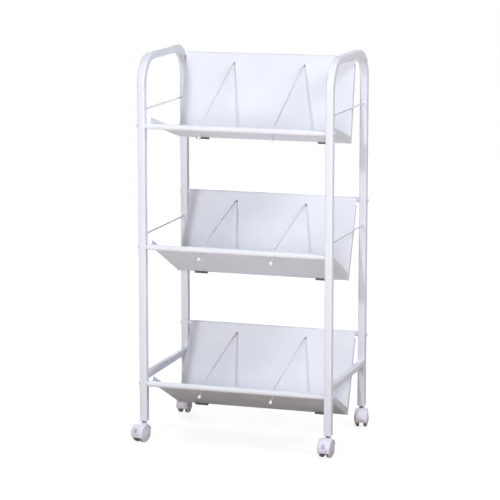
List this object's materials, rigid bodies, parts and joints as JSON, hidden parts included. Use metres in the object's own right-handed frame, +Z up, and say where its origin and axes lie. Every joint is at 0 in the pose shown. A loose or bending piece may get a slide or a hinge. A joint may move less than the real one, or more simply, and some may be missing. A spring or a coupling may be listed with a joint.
{
  "type": "file trolley",
  "caption": "Rolling file trolley: bent tube side frames carry tilted sheet-metal troughs with wire dividers, on swivelling twin-wheel casters with brake pedals in front",
  "frame": {"origin": "On the floor, under the middle of the object's bounding box.", "axes": "+Z up, the open front of the troughs faces -Y, +X is on the right of someone who faces the front."},
  "size_m": [0.5234, 0.3653, 0.962],
  "materials": {
    "coated_tube": "white semi-gloss powder coat on bent steel tube",
    "coated_sheet": "white semi-gloss powder coat on folded steel sheet",
    "coated_wire": "white coated steel wire",
    "coated_bolt": "pale coated bolt head",
    "dark_plastic": "dark moulded plastic clip",
    "dark_steel": "dark plated steel",
    "pale_plastic": "pale lilac-white moulded plastic",
    "grey_plastic": "pale grey moulded wheel with a darker tread"
  },
  "bodies": {
    "trolley": {"front_left_caster_socket": "pale_plastic", "front_right_caster_socket": "pale_plastic", "left_side_frame": "coated_tube", "lower_back_panel": "coated_sheet", "lower_front_left_bolt": "coated_bolt", "lower_front_right_bolt": "coated_bolt", "lower_left_corner_clip": "dark_plastic", "lower_left_divider": "coated_wire", "lower_rear_left_bolt": "coated_bolt", "lower_rear_right_bolt": "coated_bolt", "lower_right_corner_clip": "dark_plastic", "lower_right_divider": "coated_wire", "lower_shelf_floor": "coated_sheet", "middle_back_panel": "coated_sheet", "middle_front_left_bolt": "coated_bolt", "middle_front_right_bolt": "coated_bolt", "middle_left_corner_clip": "dark_plastic", "middle_left_divider": "coated_wire", "middle_rear_left_bolt": "coated_bolt", "middle_rear_right_bolt": "coated_bolt", "middle_right_corner_clip": "dark_plastic", "middle_right_divider": "coated_wire", "middle_shelf_floor": "coated_sheet", "rear_left_caster_socket": "pale_plastic", "rear_right_caster_socket": "pale_plastic", "right_side_frame": "coated_tube", "upper_back_panel": "coated_sheet", "upper_front_left_bolt": "coated_bolt", "upper_front_right_bolt": "coated_bolt", "upper_left_corner_clip": "dark_plastic", "upper_left_divider": "coated_wire", "upper_rear_left_bolt": "coated_bolt", "upper_rear_right_bolt": "coated_bolt", "upper_right_corner_clip": "dark_plastic", "upper_right_divider": "coated_wire", "upper_shelf_floor": "coated_sheet"},
    "front_left_caster": {"front_left_caster_hood": "pale_plastic", "front_left_caster_stem": "dark_steel", "front_left_caster_axle": "dark_steel"},
    "front_left_left_wheel": {"front_left_caster_left_wheel": "grey_plastic"},
    "front_left_right_wheel": {"front_left_caster_right_wheel": "grey_plastic"},
    "front_left_brake": {"front_left_brake_pedal": "pale_plastic"},
    "front_right_caster": {"front_right_caster_hood": "pale_plastic", "front_right_caster_stem": "dark_steel", "front_right_caster_axle": "dark_steel"},
    "front_right_left_wheel": {"front_right_caster_left_wheel": "grey_plastic"},
    "front_right_right_wheel": {"front_right_caster_right_wheel": "grey_plastic"},
    "front_right_brake": {"front_right_brake_pedal": "pale_plastic"},
    "rear_left_caster": {"rear_left_caster_hood": "pale_plastic", "rear_left_caster_stem": "dark_steel", "rear_left_caster_axle": "dark_steel"},
    "rear_left_left_wheel": {"rear_left_caster_left_wheel": "grey_plastic"},
    "rear_left_right_wheel": {"rear_left_caster_right_wheel": "grey_plastic"},
    "rear_right_caster": {"rear_right_caster_hood": "pale_plastic", "rear_right_caster_stem": "dark_steel", "rear_right_caster_axle": "dark_steel"},
    "rear_right_left_wheel": {"rear_right_caster_left_wheel": "grey_plastic"},
    "rear_right_right_wheel": {"rear_right_caster_right_wheel": "grey_plastic"}
  },
  "joints": [
    {"name": "front_left_swivel", "type": "hinge", "parent": "trolley", "child": "front_left_caster", "pos_m": [-0.2365, -0.139, 0.048], "axis": [0, 0, 1], "continuous": true},
    {"name": "front_left_left_wheel_spin", "type": "hinge", "parent": "front_left_caster", "child": "front_left_left_wheel", "pos_m": [-0.23989, -0.15258, 0.022], "axis": [0.9703, -0.2419, 0], "continuous": true},
    {"name": "front_left_right_wheel_spin", "type": "hinge", "parent": "front_left_caster", "child": "front_left_right_wheel", "pos_m": [-0.23989, -0.15258, 0.022], "axis": [0.9703, -0.2419, 0], "continuous": true},
    {"name": "front_left_brake_swing", "type": "hinge", "parent": "front_left_caster", "child": "front_left_brake", "pos_m": [-0.23989, -0.15258, 0.022], "axis": [0.9703, -0.2419, 0], "range_deg": [-20, 0]},
    {"name": "front_right_swivel", "type": "hinge", "parent": "trolley", "child": "front_right_caster", "pos_m": [0.2365, -0.139, 0.048], "axis": [0, 0, 1], "continuous": true},
    {"name": "front_right_left_wheel_spin", "type": "hinge", "parent": "front_right_caster", "child": "front_right_left_wheel", "pos_m": [0.23577, -0.15298, 0.022], "axis": [0.9986, -0.0523, 0], "continuous": true},
    {"name": "front_right_right_wheel_spin", "type": "hinge", "parent": "front_right_caster", "child": "front_right_right_wheel", "pos_m": [0.23577, -0.15298, 0.022], "axis": [0.9986, -0.0523, 0], "continuous": true},
    {"name": "front_right_brake_swing", "type": "hinge", "parent": "front_right_caster", "child": "front_right_brake", "pos_m": [0.23577, -0.15298, 0.022], "axis": [0.9986, -0.0523, 0], "range_deg": [-20, 0]},
    {"name": "rear_left_swivel", "type": "hinge", "parent": "trolley", "child": "rear_left_caster", "pos_m": [-0.2365, 0.171, 0.048], "axis": [0, 0, 1], "continuous": true},
    {"name": "rear_left_left_wheel_spin", "type": "hinge", "parent": "rear_left_caster", "child": "rear_left_left_wheel", "pos_m": [-0.23552, 0.15703, 0.022], "axis": [0.9976, 0.0698, 0], "continuous": true},
    {"name": "rear_left_right_wheel_spin", "type": "hinge", "parent": "rear_left_caster", "child": "rear_left_right_wheel", "pos_m": [-0.23552, 0.15703, 0.022], "axis": [0.9976, 0.0698, 0], "continuous": true},
    {"name": "rear_right_swivel", "type": "hinge", "parent": "trolley", "child": "rear_right_caster", "pos_m": [0.2365, 0.171, 0.048], "axis": [0, 0, 1], "continuous": true},
    {"name": "rear_right_left_wheel_spin", "type": "hinge", "parent": "rear_right_caster", "child": "rear_right_left_wheel", "pos_m": [0.23989, 0.15742, 0.022], "axis": [0.9703, 0.2419, 0], "continuous": true},
    {"name": "rear_right_right_wheel_spin", "type": "hinge", "parent": "rear_right_caster", "child": "rear_right_right_wheel", "pos_m": [0.23989, 0.15742, 0.022], "axis": [0.9703, 0.2419, 0], "continuous": true}
  ]
}
